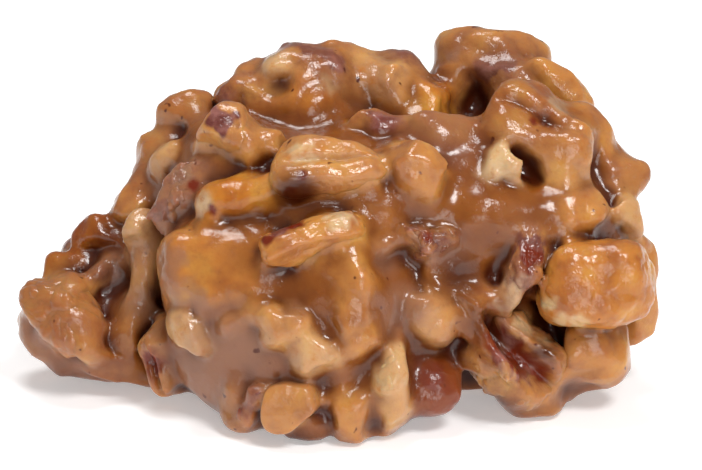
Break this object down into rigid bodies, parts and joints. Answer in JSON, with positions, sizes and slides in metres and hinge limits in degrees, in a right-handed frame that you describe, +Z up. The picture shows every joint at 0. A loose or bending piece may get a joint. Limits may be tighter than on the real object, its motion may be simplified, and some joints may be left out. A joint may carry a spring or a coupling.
{
  "type": "pecan praline",
  "caption": "Lumpy mound of glossy brown caramel packed with broken pecan kernels, with a flat base to rest on; a single sweet.",
  "frame": {"origin": "on the surface the praline rests on, under the middle of its bounding box", "axes": "+Z up from the flat base, +X along the longest side with the small side lobe at -X, -Y towards the front"},
  "size_m": [0.0591, 0.0391, 0.0304],
  "materials": {
    "caramel": "glossy milky caramel over golden pecan pieces"
  },
  "bodies": {
    "root": {"praline": "caramel"}
  },
  "joints": []
}
